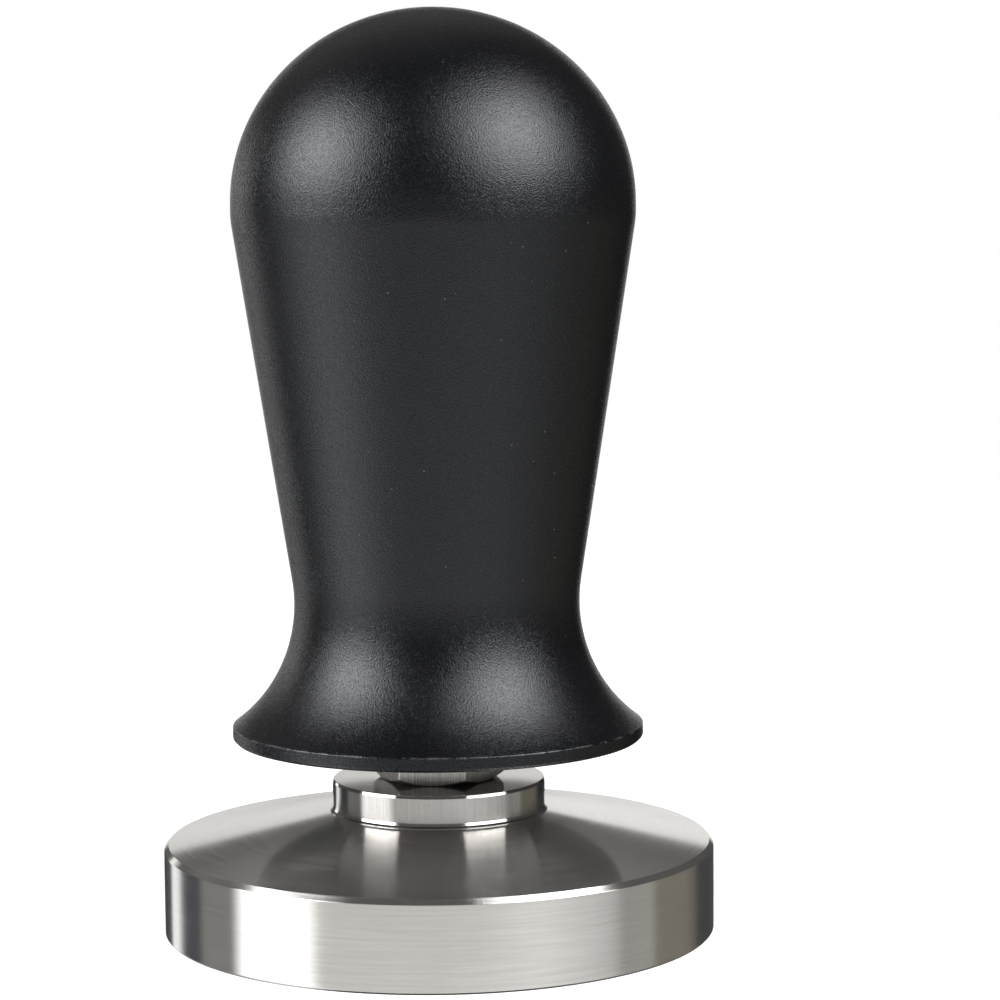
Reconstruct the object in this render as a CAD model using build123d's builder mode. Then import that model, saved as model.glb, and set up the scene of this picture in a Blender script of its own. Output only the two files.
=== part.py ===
from build123d import *
import os
from math import cos, radians, sin, sqrt, tan

# Spring-loaded espresso tamper for a 58 mm filter basket.
# Lengths are in millimetres. The origin is the centre of the tamping face and +Z runs up the handle.
# Threads are plain cylinders at their nominal size, with a small gap between the two mating parts.
# The plunger (base, collar, nut, shaft, piston) stands still; the handle slides down over it.

# ---- general clearances ----
thread_gap = 0.05
slide_gap = 0.05
stop_gap = 0.02
end_gap = 0.5  # left free at the bottom of a hole, above a nut and under the bush
edge_break = 0.3

# ---- tamping base ----
base_r = 29.0
sole_chamfer = 0.2
wall_top_z = 8.88
rim_chamfer_w = 0.47
rim_chamfer_h = 0.53
seat_r = 11.5
seat_z = 12.6
stud_hole_depth = 8.0

# ---- collar ring, standing on the base ----
collar_r = 11.2
collar_h = 3.4
collar_top_chamfer = 0.15
foot_lip = 0.3
foot_lip_edge = 0.06
foot_rise_w = 0.09
foot_rise_h = 0.18
collar_edge_w = 0.09
collar_edge_h = 0.32

# ---- hexagonal lock nut ----
nut_flats = 12.0
nut_h = 4.0
nut_turn = -6.7
nut_chamfer_angle = 30.0
nut_face_inset = 0.15

# ---- plunger shaft ----
stud_r = 4.0
shaft_r = 5.0
spigot_r = 3.5
screw_r = 2.5

# ---- handle, outside ----
handle_bottom_z = 20.36
handle_rim_r = 21.6
handle_rim_edge_z = 21.82
handle_rim_chamfer = 0.3
flare_r = 15.9
waist_r = 15.0
cone_half_angle = 8.83
shoulder_z = 74.74
shoulder_blend_r = 10.0
shoulder_band_h = 1.52
dome_h = 20.14

# ---- handle, inside ----
gland_thread_r = 12.0
gland_top_z = 36.0
bore_r = 10.0

# ---- retaining gland, screwed into the handle's open end ----
nut_pocket_r = 7.5
nut_pocket_h = 5.45
throat_r = 5.3
lip_h = 0.8
groove_r = 6.55
groove_h = 1.7
spanner_hole_r = 1.2
spanner_hole_depth = 3.5
spanner_pitch_r = 9.75

# ---- pieces between the gland and the piston ----
bush_r = 6.0
bush_flange_r = 8.0
bush_flange_h = 1.0
bumper_r = 8.5
bumper_hole_r = 5.6
bumper_h = 1.5
wiper_section_r = 0.73

# ---- guide piston, clamped to the shaft's end ----
piston_r = 9.8
piston_h = 8.0
piston_boss_r = 6.2
piston_boss_h = 6.5
shaft_socket_h = 1.5
screw_seat_h = 9.0
screw_pocket_r = 4.6
wear_ring_h = 4.0
wear_ring_r_in = 8.8
screw_head_r = 4.25
screw_head_h = 5.0
screw_socket_flats = 4.0
screw_socket_depth = 2.5
screw_depth = 10.0
screw_head_chamfer = 0.4
lock_washer_r = 4.4
lock_washer_h = 0.8
lock_washer_gap = 0.2
lock_washer_slot = 0.6

# ---- calibrated spring and its seats ----
shim_h = 0.5
shim_r = 9.2
shim_hole_r = 6.4
wire_d = 2.4
spring_mean_r = 7.7
spring_h = 34.0
spring_pitch = 3.55
upper_seat_r = 9.4
upper_seat_h = 2.0
upper_boss_h = 6.0
upper_boss_chamfer = 0.6
thrust_washer_r = 9.5
thrust_washer_h = 1.5

# ---- levels and radii that follow from the sizes above ----
collar_top_z = seat_z + collar_h
nut_top_z = collar_top_z + nut_h
shaft_shoulder_z = nut_top_z + end_gap
stud_end_z = seat_z - stud_hole_depth + end_gap
nut_pocket_top_z = handle_bottom_z + nut_pocket_h
groove_z = nut_pocket_top_z + lip_h
bush_bottom_z = groove_z + groove_h + end_gap
bumper_z = gland_top_z + bush_flange_h
piston_z = bumper_z + bumper_h + stop_gap
piston_top_z = piston_z + piston_h
spigot_z = piston_z + shaft_socket_h
screw_seat_z = piston_z + screw_seat_h
spigot_top_z = screw_seat_z - end_gap
wear_ring_z = piston_z + (piston_h - wear_ring_h) / 2
spring_z = piston_top_z + shim_h
upper_seat_z = spring_z + spring_h
thrust_washer_z = upper_seat_z + upper_seat_h + stop_gap
bore_top_z = thrust_washer_z + thrust_washer_h

# The flare arc starts on the rim's upper edge and runs into the straight cone without a corner.
flare_centre_r = waist_r + flare_r
flare_centre_z = handle_rim_edge_z + sqrt(flare_r**2 - (flare_centre_r - handle_rim_r) ** 2)
cone_foot_r = flare_centre_r - flare_r * cos(radians(cone_half_angle))
cone_foot_z = flare_centre_z + flare_r * sin(radians(cone_half_angle))
shoulder_r = cone_foot_r + (shoulder_z - cone_foot_z) * tan(radians(cone_half_angle))
dome_z = shoulder_z + shoulder_band_h
ellipse_handle = 4 / 3 * (sqrt(2) - 1)  # control length of a cubic that follows a quarter ellipse
handle_top_z = dome_z + dome_h

os.makedirs("parts", exist_ok=True)


def save(piece, name):
    """Label a finished piece and write it to its own STEP file."""
    piece.part.label = name
    export_step(piece.part, f"parts/{name}.step")


# ---------------------------------------------------------------- tamping base and its fittings

# Solid disc with a straight wall, a polished upper edge and a low cone that rises to the collar's seat.
with BuildPart() as base:
    with BuildSketch(Plane.XZ):
        with BuildLine():
            Polyline(
                (0, 0),
                (base_r - sole_chamfer, 0),
                (base_r, sole_chamfer),
                (base_r, wall_top_z),
                (base_r - rim_chamfer_w, wall_top_z + rim_chamfer_h),
                (seat_r, seat_z),
                (0, seat_z),
                close=True,
            )
        make_face()
    revolve(axis=Axis.Z)
    with Locations(Plane.XY.offset(seat_z)):
        Hole(radius=stud_r + thread_gap, depth=stud_hole_depth)
save(base, "base")

# Polished ring, with a small lip round its foot and a steep break on its upper edge.
with BuildPart() as collar_ring:
    with BuildSketch(Plane.XZ):
        with BuildLine():
            Polyline(
                (stud_r + thread_gap, seat_z),
                (collar_r + foot_lip, seat_z),
                (collar_r + foot_lip, seat_z + foot_lip_edge),
                (collar_r + foot_rise_w, seat_z + foot_lip_edge + foot_lip - foot_rise_w),
                (collar_r, seat_z + foot_lip_edge + foot_lip + foot_rise_h),
                (collar_r, collar_top_z - collar_edge_h),
                (collar_r - collar_edge_w, collar_top_z - collar_top_chamfer / 3),
                (collar_r - collar_top_chamfer, collar_top_z),
                (stud_r + thread_gap, collar_top_z),
                close=True,
            )
        make_face()
    revolve(axis=Axis.Z)
save(collar_ring, "collar_ring")

# Lock nut: a hexagonal prism turned down to a cone at both ends, which leaves curved edges on the flats.
nut_corner_r = nut_flats / 2 / cos(radians(30))
nut_face_r = nut_flats / 2 - nut_face_inset
nut_chamfer_h = (nut_corner_r - nut_face_r) * tan(radians(nut_chamfer_angle))
with BuildPart() as lock_nut:
    with BuildSketch(Plane.XY.offset(collar_top_z)):
        RegularPolygon(radius=nut_flats / 2, side_count=6, major_radius=False, rotation=nut_turn)
        Circle(stud_r + thread_gap, mode=Mode.SUBTRACT)
    extrude(amount=nut_h)
    with BuildSketch(Plane.XZ):
        with BuildLine():
            Polyline(
                (0, collar_top_z),
                (nut_face_r, collar_top_z),
                (nut_corner_r, collar_top_z + nut_chamfer_h),
                (nut_corner_r, nut_top_z - nut_chamfer_h),
                (nut_face_r, nut_top_z),
                (0, nut_top_z),
                close=True,
            )
        make_face()
    revolve(axis=Axis.Z, mode=Mode.INTERSECT)
save(lock_nut, "lock_nut")

# Shaft: a stud for the base, a ground guide length, and a spigot with a tapped hole for the piston's screw.
with BuildPart() as plunger_shaft:
    with BuildSketch(Plane.XZ):
        with BuildLine():
            Polyline(
                (0, stud_end_z),
                (stud_r - edge_break, stud_end_z),
                (stud_r, stud_end_z + edge_break),
                (stud_r, shaft_shoulder_z),
                (shaft_r - edge_break, shaft_shoulder_z),
                (shaft_r, shaft_shoulder_z + edge_break),
                (shaft_r, spigot_z),
                (spigot_r, spigot_z),
                (spigot_r, spigot_top_z),
                (0, spigot_top_z),
                close=True,
            )
        make_face()
    revolve(axis=Axis.Z)
    with Locations(Plane.XY.offset(spigot_top_z)):
        Hole(radius=screw_r + thread_gap, depth=screw_depth)
save(plunger_shaft, "plunger_shaft")

# ---------------------------------------------------------------- guide piston at the shaft's top

with BuildPart() as guide_piston:
    with BuildSketch(Plane.XZ):
        with BuildLine():
            Polyline(
                (shaft_r + thread_gap, piston_z),
                (piston_r - edge_break, piston_z),
                (piston_r, piston_z + edge_break),
                (piston_r, wear_ring_z),
                (wear_ring_r_in, wear_ring_z),
                (wear_ring_r_in, wear_ring_z + wear_ring_h),
                (piston_r, wear_ring_z + wear_ring_h),
                (piston_r, piston_top_z - edge_break),
                (piston_r - edge_break, piston_top_z),
                (piston_boss_r, piston_top_z),
                (piston_boss_r, piston_top_z + piston_boss_h - edge_break),
                (piston_boss_r - edge_break, piston_top_z + piston_boss_h),
                (screw_pocket_r, piston_top_z + piston_boss_h),
                (screw_pocket_r, screw_seat_z),
                (spigot_r + thread_gap, screw_seat_z),
                (spigot_r + thread_gap, spigot_z),
                (shaft_r + thread_gap, spigot_z),
                close=True,
            )
        make_face()
    revolve(axis=Axis.Z)
save(guide_piston, "guide_piston")

# Split plastic ring that runs in the handle's bore; the slot lets it spring over the piston.
wear_ring_slot = 1.2
with BuildPart() as piston_wear_ring:
    with BuildSketch(Plane.XY.offset(wear_ring_z)):
        Circle(bore_r - slide_gap)
        Circle(wear_ring_r_in, mode=Mode.SUBTRACT)
        with Locations((0, (bore_r + wear_ring_r_in) / 2)):
            Rectangle(wear_ring_slot, bore_r - wear_ring_r_in + 1, mode=Mode.SUBTRACT)
    extrude(amount=wear_ring_h)
save(piston_wear_ring, "piston_wear_ring")

# Split spring washer under the screw's head.
with BuildPart() as lock_washer:
    with BuildSketch(Plane.XY.offset(screw_seat_z)):
        Circle(lock_washer_r)
        Circle(screw_r + lock_washer_gap, mode=Mode.SUBTRACT)
        with Locations((0, -lock_washer_r)):
            Rectangle(lock_washer_slot, lock_washer_r, mode=Mode.SUBTRACT)
    extrude(amount=lock_washer_h)
save(lock_washer, "lock_washer")

# Socket-head screw that clamps the piston to the shaft.
screw_head_z = screw_seat_z + lock_washer_h
with BuildPart() as piston_screw:
    with BuildSketch(Plane.XY.offset(screw_head_z)):
        Circle(screw_head_r)
    extrude(amount=screw_head_h)
    chamfer(piston_screw.edges().group_by(Axis.Z)[-1], length=screw_head_chamfer)
    with BuildSketch(Plane.XY.offset(screw_head_z)):
        Circle(screw_r)
    extrude(amount=-(screw_depth - end_gap))
    with BuildSketch(Plane.XY.offset(screw_head_z + screw_head_h)):
        RegularPolygon(radius=screw_socket_flats / 2, side_count=6, major_radius=False)
    extrude(amount=-screw_socket_depth, mode=Mode.SUBTRACT)
save(piston_screw, "piston_screw")

# ---------------------------------------------------------------- calibrated spring and its seats

# Thin steel ring under the spring, ground to thickness to set the preload.
with BuildPart() as preload_shim:
    with BuildSketch(Plane.XY.offset(piston_top_z)):
        Circle(shim_r)
        Circle(shim_hole_r, mode=Mode.SUBTRACT)
    extrude(amount=shim_h)
save(preload_shim, "preload_shim")

# Compression spring at its fitted length, with both ends ground flat.
# The coil starts and ends half a wire outside the fitted length, and the grinding cuts that off.
coil_z = spring_z - wire_d / 2
coil_h = spring_h + wire_d
with BuildPart() as main_spring:
    with BuildLine():
        coil_line = Helix(pitch=spring_pitch, height=coil_h, radius=spring_mean_r, center=(0, 0, coil_z))
    with BuildSketch(Plane(origin=coil_line @ 0, z_dir=coil_line % 0)):
        Circle(wire_d / 2)
    sweep(path=coil_line, is_frenet=True)
    with BuildSketch(Plane.XY.offset(spring_z)):
        Circle(spring_mean_r + wire_d)
    extrude(amount=spring_h, mode=Mode.INTERSECT)
save(main_spring, "main_spring")

# Flanged seat that centres the spring's upper end.
with BuildPart() as upper_spring_seat:
    with BuildSketch(Plane.XY.offset(upper_seat_z)):
        Circle(upper_seat_r)
    extrude(amount=upper_seat_h)
    chamfer(upper_spring_seat.edges().filter_by(GeomType.CIRCLE), length=edge_break)
    with BuildSketch(Plane.XY.offset(upper_seat_z)):
        Circle(piston_boss_r)
    extrude(amount=-upper_boss_h)
    chamfer(upper_spring_seat.edges().group_by(Axis.Z)[0], length=upper_boss_chamfer)
save(upper_spring_seat, "upper_spring_seat")

# Plain plastic disc at the end of the bore, on which the handle turns.
with BuildPart() as thrust_washer:
    with BuildSketch(Plane.XY.offset(thrust_washer_z)):
        Circle(thrust_washer_r)
    extrude(amount=thrust_washer_h)
save(thrust_washer, "thrust_washer")

# ---------------------------------------------------------------- gland and the rings it holds

# The gland closes the handle. Its pocket swallows the lock nut when the handle is pressed down,
# and its groove holds the wiper ring. Two blind holes take a pin spanner.
with BuildPart() as retaining_gland:
    with BuildSketch(Plane.XZ):
        with BuildLine():
            Polyline(
                (nut_pocket_r, handle_bottom_z),
                (gland_thread_r - thread_gap - edge_break, handle_bottom_z),
                (gland_thread_r - thread_gap, handle_bottom_z + edge_break),
                (gland_thread_r - thread_gap, gland_top_z),
                (bush_r, gland_top_z),
                (bush_r, bush_bottom_z),
                (throat_r, bush_bottom_z),
                (throat_r, groove_z + groove_h),
                (groove_r, groove_z + groove_h),
                (groove_r, groove_z),
                (throat_r, groove_z),
                (throat_r, nut_pocket_top_z),
                (nut_pocket_r, nut_pocket_top_z),
                close=True,
            )
        make_face()
    revolve(axis=Axis.Z)
    with BuildSketch(Plane.XY.offset(handle_bottom_z)):
        with PolarLocations(spanner_pitch_r, 2):
            Circle(spanner_hole_r)
    extrude(amount=spanner_hole_depth, mode=Mode.SUBTRACT)
save(retaining_gland, "retaining_gland")

# Rubber ring that wipes the shaft and keeps coffee out of the handle.
with BuildPart() as wiper_ring:
    with BuildSketch(Plane.XZ):
        with Locations((shaft_r + slide_gap + wiper_section_r, groove_z + groove_h / 2)):
            Circle(wiper_section_r)
    revolve(axis=Axis.Z)
save(wiper_ring, "wiper_ring")

# Flanged bronze bush that guides the shaft.
with BuildPart() as guide_bush:
    with BuildSketch(Plane.XZ):
        with BuildLine():
            Polyline(
                (shaft_r + slide_gap, bush_bottom_z),
                (bush_r - thread_gap, bush_bottom_z),
                (bush_r - thread_gap, gland_top_z),
                (bush_flange_r, gland_top_z),
                (bush_flange_r, gland_top_z + bush_flange_h),
                (shaft_r + slide_gap, gland_top_z + bush_flange_h),
                close=True,
            )
        make_face()
    revolve(axis=Axis.Z)
save(guide_bush, "guide_bush")

# Plastic ring that takes the piston's knock when the handle springs back up.
with BuildPart() as rebound_bumper:
    with BuildSketch(Plane.XY.offset(bumper_z)):
        Circle(bumper_r)
        Circle(bumper_hole_r, mode=Mode.SUBTRACT)
    extrude(amount=bumper_h)
save(rebound_bumper, "rebound_bumper")

# ---------------------------------------------------------------- handle

# One-piece turned handle: thin rim, concave flare, straight cone, short shoulder band and domed head.
with BuildPart() as handle_shell:
    with BuildSketch(Plane.XZ):
        with BuildLine():
            Polyline(
                (0, handle_bottom_z),
                (handle_rim_r - handle_rim_chamfer, handle_bottom_z),
                (handle_rim_r, handle_bottom_z + handle_rim_chamfer),
                (handle_rim_r, handle_rim_edge_z),
            )
            RadiusArc(
                (handle_rim_r, handle_rim_edge_z),
                (cone_foot_r, cone_foot_z),
                flare_r,
            )
            Polyline(
                (cone_foot_r, cone_foot_z),
                (shoulder_r, shoulder_z),
                (shoulder_r, dome_z),
            )
            Bezier(
                (shoulder_r, dome_z),
                (shoulder_r, dome_z + ellipse_handle * dome_h),
                (ellipse_handle * shoulder_r, handle_top_z),
                (0, handle_top_z),
            )
            Line((0, handle_top_z), (0, handle_bottom_z))
        make_face()
    revolve(axis=Axis.Z)
    shoulder_edge = handle_shell.edges().filter_by(GeomType.CIRCLE).filter_by_position(
        Axis.Z, shoulder_z - 0.01, shoulder_z + 0.01
    )
    fillet(shoulder_edge, radius=shoulder_blend_r)
    with BuildSketch(Plane.XY.offset(handle_bottom_z)):
        Circle(gland_thread_r)
    extrude(amount=gland_top_z - handle_bottom_z, mode=Mode.SUBTRACT)
    with BuildSketch(Plane.XY.offset(gland_top_z)):
        Circle(bore_r)
    extrude(amount=bore_top_z - gland_top_z, mode=Mode.SUBTRACT)
save(handle_shell, "handle_shell")
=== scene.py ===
"""Looks of a spring-loaded espresso tamper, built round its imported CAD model.

Lengths are in metres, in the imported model's frame. The origin is the centre of the tamping face and +Z runs
up the handle. Azimuths are in degrees from the camera's side (-Y), positive towards +X, and elevations are in
degrees above level.
"""

import math

import bpy
from mathutils import Matrix, Vector


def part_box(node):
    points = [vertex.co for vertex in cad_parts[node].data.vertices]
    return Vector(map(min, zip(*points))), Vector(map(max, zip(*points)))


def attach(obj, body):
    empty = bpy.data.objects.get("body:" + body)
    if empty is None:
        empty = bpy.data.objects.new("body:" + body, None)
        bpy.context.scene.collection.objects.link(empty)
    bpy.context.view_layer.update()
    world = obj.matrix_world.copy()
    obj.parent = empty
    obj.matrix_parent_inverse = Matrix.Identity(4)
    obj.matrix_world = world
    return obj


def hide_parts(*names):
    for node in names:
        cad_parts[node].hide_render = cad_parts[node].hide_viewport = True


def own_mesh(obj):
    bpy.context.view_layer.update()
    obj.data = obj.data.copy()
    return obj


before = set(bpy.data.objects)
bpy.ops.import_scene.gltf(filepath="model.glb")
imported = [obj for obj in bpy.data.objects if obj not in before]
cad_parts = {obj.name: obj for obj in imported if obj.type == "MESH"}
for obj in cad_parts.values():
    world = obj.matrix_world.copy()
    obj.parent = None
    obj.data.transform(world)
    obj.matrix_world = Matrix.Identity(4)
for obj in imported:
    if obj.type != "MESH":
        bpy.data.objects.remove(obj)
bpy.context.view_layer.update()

MM = 0.001
TURN = 2 * math.pi


# ---------------------------------------------------------------- outlines and turned pieces

LATHE_STEPS = 288
CORNER_STEPS = 4


def right_of(a, b):
    """Unit normal on the right of the line from a to b, which is the side facing out of the solid."""
    dr, dz = b[0] - a[0], b[1] - a[1]
    size = math.hypot(dr, dz)
    return dz / size, -dr / size


def rounded_corner(before, here, after, radius):
    """Points and normals (r, z, nr, nz) of an arc that replaces the corner at here."""
    n_in, n_out = right_of(before, here), right_of(here, after)
    cross = n_in[0] * n_out[1] - n_in[1] * n_out[0]
    turn = math.atan2(cross, n_in[0] * n_out[0] + n_in[1] * n_out[1])
    side = math.copysign(1, turn)
    middle = (Vector(n_in) + Vector(n_out)).normalized()
    centre = Vector(here) - middle * (side * radius / math.cos(turn / 2))
    start = math.atan2(n_in[1], n_in[0])
    arc = []
    for i in range(CORNER_STEPS + 1):
        angle = start + turn * i / CORNER_STEPS
        normal = Vector((math.cos(angle), math.sin(angle)))
        arc.append((*(centre + normal * (side * radius)), *normal))
    return arc


def outline(stations, closed=False):
    """Half section of a turned piece, walked with the solid on its left.

    A station is (r, z, rounding) at a corner, or (r, z, (nr, nz)) on a curve whose normal is known.
    """
    points = []
    count = len(stations)
    for i, (r, z, finish) in enumerate(stations):
        here = (r, z)
        before = stations[i - 1][:2] if i or closed else None
        after = stations[(i + 1) % count][:2] if i < count - 1 or closed else None
        if isinstance(finish, tuple):
            points.append((r, z, *finish))
        elif before is None:
            points.append((r, z, *right_of(here, after)))
        elif after is None:
            points.append((r, z, *right_of(before, here)))
        else:
            points.extend(rounded_corner(before, here, after, finish))
    return points


def new_piece(name, verts, faces, normals=None):
    mesh = bpy.data.meshes.new(name)
    mesh.from_pydata(verts, [], faces)
    mesh.shade_smooth()
    if normals:
        mesh.normals_split_custom_set_from_vertices(normals)
    piece = bpy.data.objects.new(name, mesh)
    bpy.context.scene.collection.objects.link(piece)
    return piece


def lathe(name, points, closed=False):
    """Piece made by turning an outline about Z. One that isn't closed starts and ends on the axis."""
    verts, normals, faces, rings = [], [], [], []
    for r, z, nr, nz in points:
        steps = LATHE_STEPS if r > 1e-7 else 1
        rings.append(range(len(verts), len(verts) + steps))
        for i in range(steps):
            c, s = math.cos(TURN * i / LATHE_STEPS), math.sin(TURN * i / LATHE_STEPS)
            verts.append((r * c, r * s, z))
            normals.append((nr * c, nr * s, nz) if steps > 1 else (0.0, 0.0, math.copysign(1.0, nz)))
    pairs = list(zip(rings, rings[1:]))
    if closed:
        pairs.append((rings[-1], rings[0]))
    for low, high in pairs:
        for i in range(LATHE_STEPS):
            j = (i + 1) % LATHE_STEPS
            around = (low[i % len(low)], low[j % len(low)], high[j % len(high)], high[i % len(high)])
            faces.append(tuple(dict.fromkeys(around)))
    return new_piece(name, verts, faces, normals)


# ---------------------------------------------------------------- shader helpers


def add(tree, kind, links=None, **settings):
    """Adds a node. links gives its inputs: a socket is linked and anything else is the input's own value."""
    node = tree.nodes.new(kind)
    for key, value in settings.items():
        setattr(node, key, value)
    for key, value in (links or {}).items():
        if isinstance(value, bpy.types.NodeSocket):
            tree.links.new(value, node.inputs[key])
        else:
            node.inputs[key].default_value = value
    return node


def sums(tree, operation, *values):
    return add(tree, "ShaderNodeMath", dict(enumerate(values)), operation=operation).outputs[0]


def rescale(tree, value, low, high, to_low, to_high, smooth=False):
    """value moved from the range low..high to the range to_low..to_high, and kept in it."""
    kind = "SMOOTHSTEP" if smooth else "LINEAR"
    inputs = {"Value": value, "From Min": low, "From Max": high, "To Min": to_low, "To Max": to_high}
    return add(tree, "ShaderNodeMapRange", inputs, interpolation_type=kind).outputs["Result"]


def distance_from_axis(tree, x, y):
    squares = sums(tree, "ADD", sums(tree, "MULTIPLY", x, x), sums(tree, "MULTIPLY", y, y))
    return sums(tree, "SQRT", squares)


def joined(tree, x, y, z):
    """Vector made of three values."""
    return add(tree, "ShaderNodeCombineXYZ", {0: x, 1: y, 2: z}).outputs[0]


def noise(tree, vector, scale, detail=2.0, **more):
    inputs = {"Vector": vector, "Scale": scale, "Detail": detail, **more}
    dimensions = "4D" if "W" in more else "3D"
    return add(tree, "ShaderNodeTexNoise", inputs, noise_dimensions=dimensions).outputs["Fac"]


def mixed_colour(tree, share, a, b):
    node = add(tree, "ShaderNodeMix", {"Factor": share}, data_type="RGBA")
    for socket, value in ((node.inputs[6], a), (node.inputs[7], b)):
        if isinstance(value, bpy.types.NodeSocket):
            tree.links.new(value, socket)
        else:
            socket.default_value = (*value, 1.0)
    return node.outputs[2]


def place(tree):
    """Position on the object, and the same position split into x, y and z."""
    spot = add(tree, "ShaderNodeTexCoord").outputs["Object"]
    return spot, add(tree, "ShaderNodeSeparateXYZ", {0: spot}).outputs


def new_material(name):
    """Empty node material with a Principled BSDF, as (material, tree, shader)."""
    material = bpy.data.materials.new(name)
    material.use_nodes = True
    tree = material.node_tree
    return material, tree, tree.nodes["Principled BSDF"]


def feed(tree, shader, **inputs):
    """Sets the shader's inputs by name, with underscores for spaces."""
    for key, value in inputs.items():
        socket = shader.inputs[key.replace("_", " ")]
        if isinstance(value, bpy.types.NodeSocket):
            tree.links.new(value, socket)
        elif socket.type == "RGBA":
            socket.default_value = (*value, 1.0)
        else:
            socket.default_value = value


def wear(piece, material):
    """Gives a piece that material and no other."""
    piece.data.materials.clear()
    piece.data.materials.append(material)


# ---------------------------------------------------------------- materials


def turned_metal(name, colour, roughness, anisotropy, pitch, contrast, depth, chatter=0.0, upright=False):
    """Metal cut on a lathe: fine rings round Z, a highlight spread across them, and faint handling marks.

    pitch is the width of the rings, depth their height, and chatter the strength of the short lines across
    them. upright is for bar stock, whose drawing lines run along Z and spread the highlight sideways.
    """
    material, tree, shader = new_material(name)
    spot, (x, y, z) = place(tree)
    radius = distance_from_axis(tree, x, y)
    safe_radius = sums(tree, "MAXIMUM", radius, 0.1 * MM)
    across = sums(tree, "DIVIDE", x, safe_radius)
    along = sums(tree, "DIVIDE", y, safe_radius)
    # A ring's shade depends on r and z, and drifts slowly round the axis.
    ring_spot = joined(
        tree,
        sums(tree, "DIVIDE", radius, pitch),
        sums(tree, "DIVIDE", z, pitch),
        sums(tree, "MULTIPLY", across, RING_DRIFT),
    )
    rings = noise(tree, ring_spot, 1.0, 3.0, W=sums(tree, "MULTIPLY", along, RING_DRIFT))
    marks = noise(tree, spot, MARKS_PER_METRE, 4.0)
    tone = rings
    if chatter:
        line_spot = joined(
            tree,
            sums(tree, "MULTIPLY", across, LINES_ROUND),
            sums(tree, "MULTIPLY", along, LINES_ROUND),
            sums(tree, "MULTIPLY", z, LINES_UP),
        )
        lines = noise(tree, line_spot, 1.0, 4.0)
        tone = sums(tree, "ADD", rings, sums(tree, "MULTIPLY", sums(tree, "SUBTRACT", lines, 0.5), chatter))
    share = rescale(tree, tone, 0.3, 0.7, 0.0, 1.0)
    dark = tuple(c * (1 - contrast) for c in colour)
    light = tuple(min(1.0, c * (1 + contrast)) for c in colour)
    worn = rescale(tree, marks, 0.35, 0.75, 0.9, 1.25)
    finish = sums(tree, "MULTIPLY", worn, rescale(tree, rings, 0.3, 0.7, roughness * 0.9, roughness * 1.1))
    bump = add(tree, "ShaderNodeBump", {"Strength": 1.0, "Distance": depth, "Height": rings})
    tangent = add(tree, "ShaderNodeTangent", direction_type="RADIAL", axis="Z").outputs[0]
    feed(
        tree,
        shader,
        Base_Color=mixed_colour(tree, share, dark, light),
        Metallic=STEEL_METALLIC,
        Roughness=finish,
        Anisotropic=anisotropy,
        Anisotropic_Rotation=0.0 if upright else ACROSS_RINGS,
        Tangent=tangent,
        Normal=bump.outputs[0],
    )
    return material


def plain_metal(name, colour, roughness, grain, depth):
    """Metal part with a fine even grain, a little duller in patches."""
    material, tree, shader = new_material(name)
    spot, _ = place(tree)
    fine = noise(tree, spot, 1 / grain, 3.0)
    patches = noise(tree, spot, 120.0, 3.0)
    bump = add(tree, "ShaderNodeBump", {"Strength": 0.6, "Distance": depth, "Height": fine})
    feed(
        tree,
        shader,
        Base_Color=mixed_colour(tree, patches, tuple(c * 0.85 for c in colour), colour),
        Metallic=1.0,
        Roughness=rescale(tree, patches, 0.3, 0.7, roughness * 0.8, roughness * 1.2),
        Normal=bump.outputs[0],
    )
    return material


def plain_plastic(name, colour, roughness, grain, depth, specular=0.5):
    """Moulded plastic or rubber with a fine skin and slight shifts of shade."""
    material, tree, shader = new_material(name)
    spot, _ = place(tree)
    fine = noise(tree, spot, 1 / grain, 2.0)
    patches = noise(tree, spot, 150.0, 3.0)
    bump = add(tree, "ShaderNodeBump", {"Strength": 0.5, "Distance": depth, "Height": fine})
    feed(
        tree,
        shader,
        Base_Color=mixed_colour(tree, patches, tuple(c * 0.8 for c in colour), colour),
        Roughness=rescale(tree, patches, 0.3, 0.7, roughness * 0.9, roughness * 1.1),
        Specular_IOR_Level=specular,
        Normal=bump.outputs[0],
    )
    return material


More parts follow.
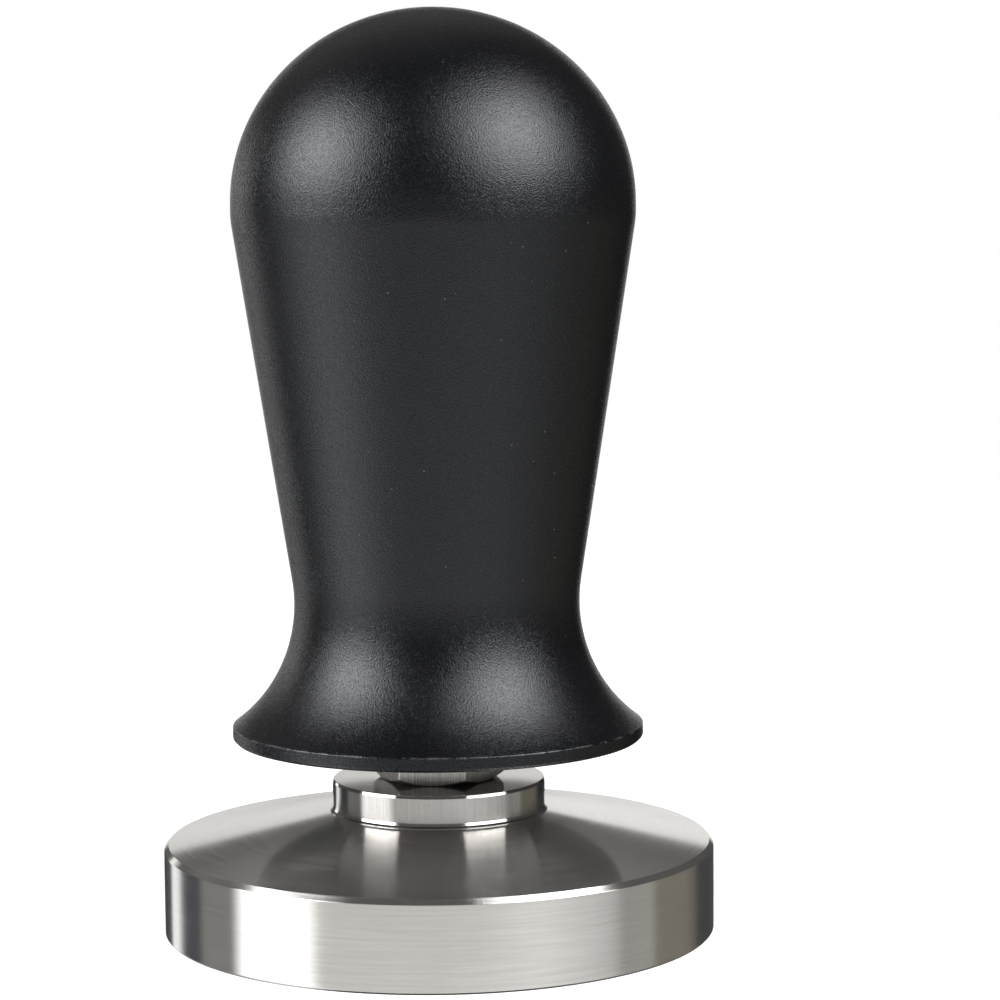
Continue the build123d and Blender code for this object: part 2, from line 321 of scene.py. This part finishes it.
def black_coating():
    """Matt black powder coat: fine pebbled skin, a few pale flecks, and a rim edge worn smoother, with a
    painted highlight along it.
    """
    material, tree, shader = new_material("handle_powder_coat")
    spot, (_, _, z) = place(tree)
    pebbles = noise(tree, spot, 1 / COAT_GRAIN, 1.0)
    cells = add(tree, "ShaderNodeTexVoronoi", {"Vector": spot, "Scale": 1 / COAT_FLECK_SPACING})
    flecks = rescale(tree, cells.outputs["Distance"], 0.03, 0.09, 1.0, 0.0)
    cell_value = add(tree, "ShaderNodeSeparateXYZ", {0: cells.outputs["Color"]}).outputs[0]
    chosen = sums(tree, "GREATER_THAN", cell_value, 0.8)
    flecks = sums(tree, "MULTIPLY", flecks, chosen)
    # Band along the rim's top edge: glossier there, and its colour painted paler in patches as a painted
    # highlight of the edge.
    edge = sums(tree, "ABSOLUTE", sums(tree, "SUBTRACT", z, handle_rim_edge_z))
    edge_gloss_and_highlight = rescale(tree, edge, 0.0, EDGE_GLOSS_AND_HIGHLIGHT_WIDTH, 1.0, 0.0, smooth=True)
    patchy_edge_highlight = sums(tree, "MULTIPLY", edge_gloss_and_highlight, rescale(tree, noise(tree, spot, 900.0, 3.0), 0.45, 0.6, 0.0, 1.0))
    skin = mixed_colour(tree, rescale(tree, pebbles, 0.35, 0.65, 0.0, 1.0), COAT_DARK, COAT_LIGHT)
    flecked = mixed_colour(tree, flecks, skin, COAT_FLECK)
    bump = add(tree, "ShaderNodeBump", {"Strength": 1.0, "Distance": COAT_DEPTH, "Height": pebbles})
    hollows = COAT_ROUGHNESS + COAT_ROUGHNESS_SPREAD
    tops = COAT_ROUGHNESS - COAT_ROUGHNESS_SPREAD
    matt = rescale(tree, pebbles, 0.35, 0.65, hollows, tops)
    feed(
        tree,
        shader,
        Base_Color=mixed_colour(tree, patchy_edge_highlight, flecked, COAT_EDGE_HIGHLIGHT),
        Roughness=sums(tree, "SUBTRACT", matt, sums(tree, "MULTIPLY", edge_gloss_and_highlight, RUBBED_GLOSS)),
        Specular_IOR_Level=COAT_SPECULAR,
        Specular_Tint=COAT_TINT,
        Normal=bump.outputs[0],
    )
    return material


# ---------------------------------------------------------------- the tamper's own sizes

# Base
base_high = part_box("base")[1]
base_r = base_high.x
seat_z = base_high.z
sole_chamfer = 0.2 * MM
wall_top_z = 8.88 * MM
rim_chamfer_w = 0.47 * MM
rim_chamfer_h = 0.53 * MM
seat_r = 11.5 * MM
stud_hole_r = 4.05 * MM
stud_hole_depth = 8.0 * MM

# Collar ring
collar_low, collar_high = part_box("collar_ring")
foot_r = collar_high.x
foot_lip = 0.3 * MM
foot_lip_edge = 0.06 * MM
collar_r = foot_r - foot_lip
collar_top_chamfer = 0.15 * MM
collar_top_drop = 0.05 * MM
collar_edge_w = 0.09 * MM
collar_edge_h = 0.32 * MM
foot_rise_w = 0.09 * MM
foot_rise_h = 0.18 * MM

# Lock nut
nut_low, nut_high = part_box("lock_nut")
nut_flats = 12.0 * MM
nut_face_inset = 0.15 * MM
nut_face_r = nut_flats / 2 - nut_face_inset
nut_turn = -6.7
nut_chamfer_angle = 30.0
nut_edge_break = 0.08 * MM

# Handle
handle_low, handle_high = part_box("handle_shell")
handle_bottom_z = handle_low.z
handle_top_z = handle_high.z
handle_rim_r = handle_high.x
handle_rim_edge_z = 21.82 * MM
handle_rim_chamfer = 0.3 * MM
handle_rim_round = 0.15 * MM
flare_r = 15.9 * MM
waist_r = 15.0 * MM
cone_half_angle = math.radians(8.83)
shoulder_z = 74.74 * MM
shoulder_blend_r = 10.0 * MM
shoulder_band_h = 1.52 * MM
gland_thread_r = 12.0 * MM
gland_top_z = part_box("retaining_gland")[1].z
bore_r = 10.0 * MM
bore_top_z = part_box("thrust_washer")[1].z

# Spring
spring_low, spring_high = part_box("main_spring")
wire_r = 1.2 * MM
spring_turns = 9.5

# Turned metal, whose fine scratches scatter a little of the light
STEEL_METALLIC = 0.955
MARKS_PER_METRE = 90.0
# How much the rings change round the axis, and how close the short lines stand round it and along Z
RING_DRIFT = 3.0
LINES_ROUND = 60.0
LINES_UP = 150.0

# Anisotropic rotation that turns the highlight from along the rings to across them
ACROSS_RINGS = 0.25

# Powder coat
COAT_GRAIN = 0.145 * MM
COAT_DEPTH = 0.05 * MM
COAT_FLECK_SPACING = 1.1 * MM
COAT_ROUGHNESS = 0.25
COAT_ROUGHNESS_SPREAD = 0.06
RUBBED_GLOSS = 0.12
# Width of the band along the rim's top edge that is glossier and carries the painted highlight
EDGE_GLOSS_AND_HIGHLIGHT_WIDTH = 0.15 * MM
COAT_SPECULAR = 0.42
COAT_TINT = (0.93, 0.95, 1.0)
COAT_DARK = (0.0008, 0.0009, 0.0012)
COAT_LIGHT = (0.0026, 0.0030, 0.0038)
COAT_FLECK = (0.08, 0.08, 0.083)
# Paler colour painted in patches along the rim's top edge: a painted highlight
COAT_EDGE_HIGHLIGHT = (0.05, 0.05, 0.053)


# ---------------------------------------------------------------- pieces


def make_base():
    break_r = 0.08 * MM
    points = outline(
        [
            (0, 0, 0),
            (base_r - sole_chamfer, 0, break_r),
            (base_r, sole_chamfer, break_r),
            (base_r, wall_top_z, break_r),
            (base_r - rim_chamfer_w, wall_top_z + rim_chamfer_h, break_r),
            (seat_r, seat_z, break_r),
            (stud_hole_r, seat_z, break_r),
            (stud_hole_r, seat_z - stud_hole_depth, break_r),
            (0, seat_z - stud_hole_depth, 0),
        ]
    )
    return lathe("tamping_base", points)


def make_collar():
    points = outline(
        [
            (stud_hole_r, collar_low.z, 0.1 * MM),
            (foot_r, collar_low.z, 0.02 * MM),
            (foot_r, collar_low.z + foot_lip_edge, 0.03 * MM),
            (collar_r + foot_rise_w, collar_low.z + foot_lip_edge + foot_lip - foot_rise_w, 0.04 * MM),
            (collar_r, collar_low.z + foot_lip_edge + foot_lip + foot_rise_h, 0.04 * MM),
            (collar_r, collar_high.z - collar_edge_h, 0.03 * MM),
            (collar_r - collar_edge_w, collar_high.z - collar_top_drop, 0.02 * MM),
            (collar_r - collar_top_chamfer, collar_high.z, 0.02 * MM),
            (stud_hole_r, collar_high.z, 0.1 * MM),
        ],
        closed=True,
    )
    return lathe("polished_collar", points, closed=True)


def flare_and_cone():
    """Stations of the flare's arc, from the rim's edge to the straight cone, and where the cone ends."""
    centre_r = waist_r + flare_r
    centre_z = handle_rim_edge_z + math.sqrt(flare_r**2 - (centre_r - handle_rim_r) ** 2)
    start = math.atan2(centre_z - handle_rim_edge_z, centre_r - handle_rim_r)
    steps = 60
    stations = []
    for i in range(1, steps + 1):
        angle = start + (-cone_half_angle - start) * i / steps
        normal = (math.cos(angle), math.sin(angle))
        stations.append((centre_r - flare_r * normal[0], centre_z - flare_r * normal[1], normal))
    foot_radius, foot_z, _ = stations[-1]
    return stations, foot_radius + (shoulder_z - foot_z) * math.tan(cone_half_angle)


def dome(radius, low_z, high_z):
    """Stations of a quarter ellipse from the shoulder band to the axis."""
    steps = 72
    stations = []
    height = high_z - low_z
    for i in range(1, steps):
        angle = TURN / 4 * i / steps
        normal = Vector((height * math.cos(angle), radius * math.sin(angle))).normalized()
        stations.append((radius * math.cos(angle), low_z + height * math.sin(angle), tuple(normal)))
    return stations


def make_handle():
    flare, shoulder_r = flare_and_cone()
    dome_z = shoulder_z + shoulder_band_h
    points = outline(
        [
            (gland_thread_r, handle_bottom_z, handle_rim_round),
            (handle_rim_r - handle_rim_chamfer, handle_bottom_z, handle_rim_round),
            (handle_rim_r, handle_bottom_z + handle_rim_chamfer, handle_rim_round),
            (handle_rim_r, handle_rim_edge_z, handle_rim_round),
            *flare,
            (shoulder_r, shoulder_z, shoulder_blend_r),
            (shoulder_r, dome_z, (1.0, 0.0)),
            *dome(shoulder_r, dome_z, handle_top_z),
            (0, handle_top_z, (0.0, 1.0)),
        ]
    )
    bore = outline(
        [
            (0, bore_top_z, 0),
            (bore_r, bore_top_z, 0.3 * MM),
            (bore_r, gland_top_z, 0.1 * MM),
            (gland_thread_r, gland_top_z, 0.1 * MM),
            (gland_thread_r, handle_bottom_z, 0.1 * MM),
        ]
    )
    return lathe("handle_grip", bore[:-1] + points)


def make_nut():
    """Hexagon whose ends are turned to a cone, so that each flat ends in a curve."""
    per_flat = 16
    slope = math.tan(math.radians(nut_chamfer_angle))
    count = 6 * per_flat
    rings = [[] for _ in range(6)]
    for i in range(count):
        angle = math.radians(nut_turn + 30) + TURN * i / count
        off_flat = (TURN * i / count + TURN / 12) % (TURN / 6) - TURN / 12
        reach = nut_flats / 2 / math.cos(off_flat)
        drop = (reach - nut_face_r) * slope
        levels = [
            (stud_hole_r, nut_low.z),
            (nut_face_r, nut_low.z),
            (reach, nut_low.z + drop),
            (reach, nut_high.z - drop),
            (nut_face_r, nut_high.z),
            (stud_hole_r, nut_high.z),
        ]
        for ring, (r, z) in zip(rings, levels):
            ring.append((r * math.cos(angle), r * math.sin(angle), z))
    verts = [v for ring in rings for v in ring]
    faces = []
    for level in range(6):
        low, high = level * count, (level + 1) % 6 * count
        for i in range(count):
            j = (i + 1) % count
            faces.append((low + i, low + j, high + j, high + i))
    piece = new_piece("hex_lock_nut", verts, faces)
    bevel = piece.modifiers.new("broken_edges", "BEVEL")
    bevel.width = nut_edge_break
    bevel.segments = 3
    bevel.limit_method = "ANGLE"
    bevel.angle_limit = math.radians(14)
    bevel.harden_normals = True
    return piece


def make_spring():
    """Round-wire compression spring whose end turns are closed up and ground flat."""
    turn_steps, wire_steps = 72, 20
    closed_turns = 1.0
    seat_rise = 0.35 * wire_r
    closed_pitch = 2.02 * wire_r
    mean_r = spring_high.x - wire_r
    low_z, high_z = spring_low.z + seat_rise, spring_high.z - seat_rise
    open_pitch = (high_z - low_z - 2 * closed_turns * closed_pitch) / (spring_turns - 2 * closed_turns)

    def height(turn):
        if turn < closed_turns:
            return low_z + closed_pitch * turn
        if turn > spring_turns - closed_turns:
            return high_z - closed_pitch * (spring_turns - turn)
        return low_z + closed_pitch * closed_turns + open_pitch * (turn - closed_turns)

    count = int(spring_turns * turn_steps)
    verts = []
    for i in range(count + 1):
        turn = spring_turns * i / count
        angle = TURN * turn
        middle = height(turn)
        for k in range(wire_steps):
            wire_angle = TURN * k / wire_steps
            r = mean_r + wire_r * math.cos(wire_angle)
            z = middle + wire_r * math.sin(wire_angle)
            z = min(max(z, spring_low.z), spring_high.z)
            verts.append((r * math.cos(angle), r * math.sin(angle), z))
    faces = [tuple(range(wire_steps)), tuple(range(len(verts) - 1, len(verts) - 1 - wire_steps, -1))]
    for i in range(count):
        for k in range(wire_steps):
            a, b = i * wire_steps + k, i * wire_steps + (k + 1) % wire_steps
            faces.append((a, a + wire_steps, b + wire_steps, b))
    return new_piece("calibrated_spring", verts, faces)


def build_pieces():
    steel = (0.62, 0.605, 0.585)
    # The collar's colour is the base's steel darkened: painted shade, so the collar reads darker than the
    # base.
    painted_shade_steel = (0.49, 0.476, 0.462)
    fine_depth = 0.00001 * MM
    base_steel = turned_metal("turned_steel", steel, 0.16, 0.95, 0.25 * MM, 0.06, fine_depth)
    collar_steel = turned_metal(
        "polished_steel", painted_shade_steel, 0.12, 0.7, 0.08 * MM, 0.05, fine_depth, chatter=1.5
    )
    nut_steel = turned_metal(
        "nut_steel", steel, 0.38, 0.6, 0.2 * MM, 0.16, fine_depth, chatter=3.0, upright=True
    )
    coat = black_coating()
    spring_steel = plain_metal("spring_steel", (0.40, 0.39, 0.38), 0.28, 0.15 * MM, 0.004 * MM)
    made = [
        (make_base(), "plunger", "base", "turned_steel", base_steel),
        (make_collar(), "plunger", "collar_ring", "polished_steel", collar_steel),
        (make_nut(), "plunger", "lock_nut", "nut_steel", nut_steel),
        (make_spring(), "plunger", "main_spring", "spring_steel", spring_steel),
        (make_handle(), "handle", "handle_shell", "handle_black", coat),
    ]
    pieces = {}
    for piece, body, node, slot, material in made:
        wear(piece, material)
        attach(piece, body)
        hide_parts(node)
        pieces[piece.name] = piece
    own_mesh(pieces["calibrated_spring"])


def dress_cad_nodes():
    """Materials of the CAD nodes that are shown as they are."""
    shaft = turned_metal("ground_steel", (0.60, 0.59, 0.575), 0.16, 0.7, 0.06 * MM, 0.04, 0.0002 * MM)
    gland = turned_metal("gland_aluminium", (0.72, 0.72, 0.73), 0.45, 0.5, 0.12 * MM, 0.06, 0.0006 * MM)
    piston = turned_metal("piston_aluminium", (0.70, 0.705, 0.71), 0.28, 0.8, 0.12 * MM, 0.06, 0.0006 * MM)
    fastener = plain_metal("fastener_steel", (0.45, 0.44, 0.42), 0.35, 0.2 * MM, 0.004 * MM)
    bronze = turned_metal("bush_bronze", (0.60, 0.36, 0.16), 0.34, 0.6, 0.15 * MM, 0.08, 0.0006 * MM)
    rubber = plain_plastic("wiper_rubber", (0.012, 0.012, 0.012), 0.6, 0.1 * MM, 0.01 * MM, specular=0.3)
    nylon = plain_plastic("wear_plastic", (0.72, 0.69, 0.60), 0.42, 0.12 * MM, 0.006 * MM)
    finishes = {
        "plunger_shaft": shaft,
        "upper_spring_seat": shaft,
        "retaining_gland": gland,
        "guide_piston": piston,
        "lock_washer": fastener,
        "piston_screw": fastener,
        "preload_shim": fastener,
        "guide_bush": bronze,
        "wiper_ring": rubber,
        "piston_wear_ring": nylon,
        "thrust_washer": nylon,
        "rebound_bumper": nylon,
    }
    for node, material in finishes.items():
        wear(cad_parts[node], material)


# ---------------------------------------------------------------- studio


# Each softbox: name, azimuth, elevation, distance, width, height and power in watts. A core is the brighter
# middle of the softbox behind it.
SOFTBOXES = [
    ("left_softbox", -71, 27, 1.0, 0.74, 0.68, 12.8),
    ("left_softbox_core", -71, 27, 0.97, 0.38, 0.34, 1.1),
    ("right_softbox", 55, 38, 1.0, 0.86, 0.80, 16.6),
    ("right_softbox_core", 57, 38, 0.97, 0.40, 0.38, 1.4),
]
SOFTBOX_TARGET = Vector((0.0, 0.0, 50 * MM))


def softbox(name, azimuth, elevation, distance, width, height, power):
    """Rectangular soft light that faces the middle of the tamper."""
    a, e = math.radians(azimuth), math.radians(elevation)
    towards = Vector((math.sin(a) * math.cos(e), -math.cos(a) * math.cos(e), math.sin(e)))
    light = bpy.data.lights.new(name, "AREA")
    light.shape = "RECTANGLE"
    light.size = width
    light.size_y = height
    light.energy = power
    lamp = bpy.data.objects.new(name, light)
    lamp.location = SOFTBOX_TARGET + towards * distance
    lamp.rotation_euler = (-towards).to_track_quat("-Z", "Y").to_euler()
    lamp.visible_camera = False
    bpy.context.scene.collection.objects.link(lamp)


def band(tree, value, low, high, soft):
    """1 where value is between low and high, falling to 0 over soft on each side."""
    rise = rescale(tree, value, low - soft, low + soft, 0.0, 1.0, smooth=True)
    fall = rescale(tree, value, high - soft, high + soft, 1.0, 0.0, smooth=True)
    return sums(tree, "MULTIPLY", rise, fall)


# Where the table's far edge and the backdrop's top stand, as elevations
TABLE_EDGE = -3.0
BACKDROP_TOP = 14.3

# Brightness of the room
WALL_LIGHT = 2.0
NEAR_TABLE_LIGHT = 2.7
CEILING_FRONT = 0.05
CEILING_BACK = 0.12
FRONT_GLOW = 0.085
STRIP = 2.2

# Walls of the studio low down, by azimuth from behind on the left to behind on the right
WALL_STOPS = [
    (-180, (0.018, 0.019, 0.022)),
    (-150, (0.018, 0.019, 0.022)),
    (-147, (0.60, 0.60, 0.60)),
    (-140, (0.60, 0.60, 0.60)),
    (-134, (0.10, 0.11, 0.115)),
    (-130, (0.014, 0.015, 0.019)),
    (-119, (0.014, 0.015, 0.019)),
    (-114, (0.112, 0.112, 0.108)),
    (-95, (0.100, 0.100, 0.097)),
    (-88, (0.95, 0.95, 0.95)),
    (-58, (0.95, 0.95, 0.95)),
    (-50, (0.36, 0.36, 0.35)),
    (-20, (0.38, 0.38, 0.37)),
    (0, (0.385, 0.385, 0.377)),
    (25, (0.43, 0.43, 0.425)),
    (45, (0.42, 0.42, 0.415)),
    (74, (0.285, 0.285, 0.28)),
    (82, (0.165, 0.163, 0.157)),
    (97, (0.185, 0.181, 0.165)),
    (102, (0.09, 0.085, 0.065)),
    (124, (0.09, 0.083, 0.062)),
    (132, (0.05, 0.046, 0.037)),
    (137, (0.008, 0.009, 0.011)),
    (150, (0.008, 0.009, 0.010)),
    (165, (0.03, 0.03, 0.027)),
    (180, (0.03, 0.03, 0.03)),
]


def make_world():
    """Room round the object, as reflections see it. To the camera it is plain white."""
    world = bpy.data.worlds.new("studio")
    bpy.context.scene.world = world
    world.use_nodes = True
    tree = world.node_tree
    direction = add(tree, "ShaderNodeTexCoord").outputs["Generated"]
    x, y, z = add(tree, "ShaderNodeSeparateXYZ", {0: direction}).outputs
    azimuth = sums(tree, "DEGREES", sums(tree, "ARCTAN2", x, sums(tree, "MULTIPLY", y, -1.0)))
    elevation = sums(tree, "DEGREES", sums(tree, "ARCSINE", z))

    walls = add(tree, "ShaderNodeValToRGB", {0: rescale(tree, azimuth, -180.0, 180.0, 0.0, 1.0)})
    ramp = walls.color_ramp
    while len(ramp.elements) < len(WALL_STOPS):
        ramp.elements.new(1.0)
    for element, (angle, colour) in zip(ramp.elements, WALL_STOPS):
        element.position = (angle + 180) / 360
        element.color = (*colour, 1.0)
    nearness = rescale(tree, elevation, -17.0, -14.0, NEAR_TABLE_LIGHT, WALL_LIGHT)
    wall_light = sums(tree, "MULTIPLY", band(tree, elevation, -60.0, TABLE_EDGE, 2.0), nearness)

    # Strip light behind on the left.
    strip_height = band(tree, elevation, TABLE_EDGE, 12.0, 4.0)
    strip = sums(tree, "MULTIPLY", band(tree, azimuth, -149.0, -140.0, 1.5), strip_height)

    # Pale backdrop straight behind, a little brighter on the right.
    behind = rescale(tree, sums(tree, "ABSOLUTE", azimuth), 160.0, 168.0, 0.0, 1.0, smooth=True)
    backdrop = sums(tree, "MULTIPLY", behind, band(tree, elevation, -9.5, BACKDROP_TOP, 1.5))
    backdrop = sums(tree, "MULTIPLY", backdrop, rescale(tree, x, -0.1, 0.1, 0.78, 0.92))

    # Ceiling: brighter at the back and higher up, with a faint glow in front.
    on_left = rescale(tree, azimuth, -150.0, -95.0, CEILING_BACK, 0.0, smooth=True)
    on_right = rescale(tree, azimuth, 155.0, 172.0, 0.0, CEILING_BACK, smooth=True)
    higher = rescale(tree, elevation, 20.0, 30.0, 0.4, 1.5)
    overhead = sums(tree, "MULTIPLY", sums(tree, "ADD", on_left, on_right), higher)
    overhead = sums(tree, "ADD", overhead, CEILING_FRONT)
    glow_height = band(tree, elevation, 18.0, 34.0, 5.0)
    glow = sums(tree, "MULTIPLY", band(tree, azimuth, -42.0, 42.0, 8.0), glow_height)
    overhead = sums(tree, "ADD", overhead, sums(tree, "MULTIPLY", glow, FRONT_GLOW))
    above_table = rescale(tree, elevation, TABLE_EDGE, -TABLE_EDGE, 0.0, 1.0, smooth=True)
    ceiling = sums(tree, "MULTIPLY", overhead, above_table)
    upper = sums(tree, "ADD", sums(tree, "ADD", backdrop, sums(tree, "MULTIPLY", strip, STRIP)), ceiling)

    low_room = add(tree, "ShaderNodeBackground", {"Color": walls.outputs[0], "Strength": wall_light})
    high_room = add(tree, "ShaderNodeBackground", {"Color": (1.0, 0.99, 0.975, 1.0), "Strength": upper})
    room = add(tree, "ShaderNodeAddShader", {0: low_room.outputs[0], 1: high_room.outputs[0]}).outputs[0]
    plain = add(tree, "ShaderNodeBackground", {"Color": (1.0, 1.0, 1.0, 1.0), "Strength": 1.0}).outputs[0]
    seen = add(tree, "ShaderNodeLightPath").outputs["Is Camera Ray"]
    shown = add(tree, "ShaderNodeMixShader", {0: seen, 1: room, 2: plain}).outputs[0]
    output = tree.nodes.get("World Output") or tree.nodes.new("ShaderNodeOutputWorld")
    tree.links.new(shown, output.inputs["Surface"])


def make_floor():
    """Plain pale floor that fades into the white background."""
    floor_gap = 0.02 * MM
    rings = [0.05, 0.1, 0.2, 0.4, 0.9]
    steps = 64
    verts = [(0.0, 0.0, 0.0)]
    for r in rings:
        for i in range(steps):
            angle = TURN * i / steps
            verts.append((r * math.cos(angle), r * math.sin(angle), 0.0))
    faces = [(0, 1 + i, 1 + (i + 1) % steps) for i in range(steps)]
    for level in range(len(rings) - 1):
        low = 1 + level * steps
        high = low + steps
        for i in range(steps):
            j = (i + 1) % steps
            faces.append((low + i, high + i, high + j, low + j))
    floor = new_piece("studio_floor", verts, faces)
    floor.location.z = -floor_gap
    material, tree, shader = new_material("pale_floor")
    _, (x, y, _) = place(tree)
    distance = distance_from_axis(tree, x, y)
    feed(
        tree,
        shader,
        Base_Color=(0.85, 0.85, 0.85),
        Roughness=0.9,
        Specular_IOR_Level=0.0,
        Emission_Color=(1.0, 1.0, 1.0),
        Emission_Strength=0.35,
        Alpha=rescale(tree, distance, 0.15, 0.6, 1.0, 0.0, smooth=True),
    )
    wear(floor, material)
    floor.visible_glossy = False


def make_camera():
    """Camera at the photograph's viewpoint, with its slight turn and tilt."""
    eye = Vector((0.0, -313.3, 76.06)) * MM
    yaw, pitch, roll = math.radians(1.225), math.radians(5.617), math.radians(-0.435)
    ahead = Vector((math.sin(yaw) * math.cos(pitch), math.cos(yaw) * math.cos(pitch), -math.sin(pitch)))
    level_right = Vector((math.cos(yaw), -math.sin(yaw), 0.0))
    level_up = level_right.cross(ahead)
    right = level_right * math.cos(roll) + level_up * math.sin(roll)
    up = level_up * math.cos(roll) - level_right * math.sin(roll)
    camera = bpy.data.cameras.new("camera")
    camera.sensor_width = 36.0
    camera.lens = 108.11
    camera.clip_start = 0.01
    camera.clip_end = 10.0
    holder = bpy.data.objects.new("camera", camera)
    axes = Matrix((right, up, -ahead)).transposed().to_4x4()
    holder.matrix_world = Matrix.Translation(eye) @ axes
    bpy.context.scene.collection.objects.link(holder)
    bpy.context.scene.camera = holder


build_pieces()
dress_cad_nodes()
make_world()
make_floor()
make_camera()
for light in SOFTBOXES:
    softbox(*light)
bpy.context.scene.view_settings.view_transform = "Standard"
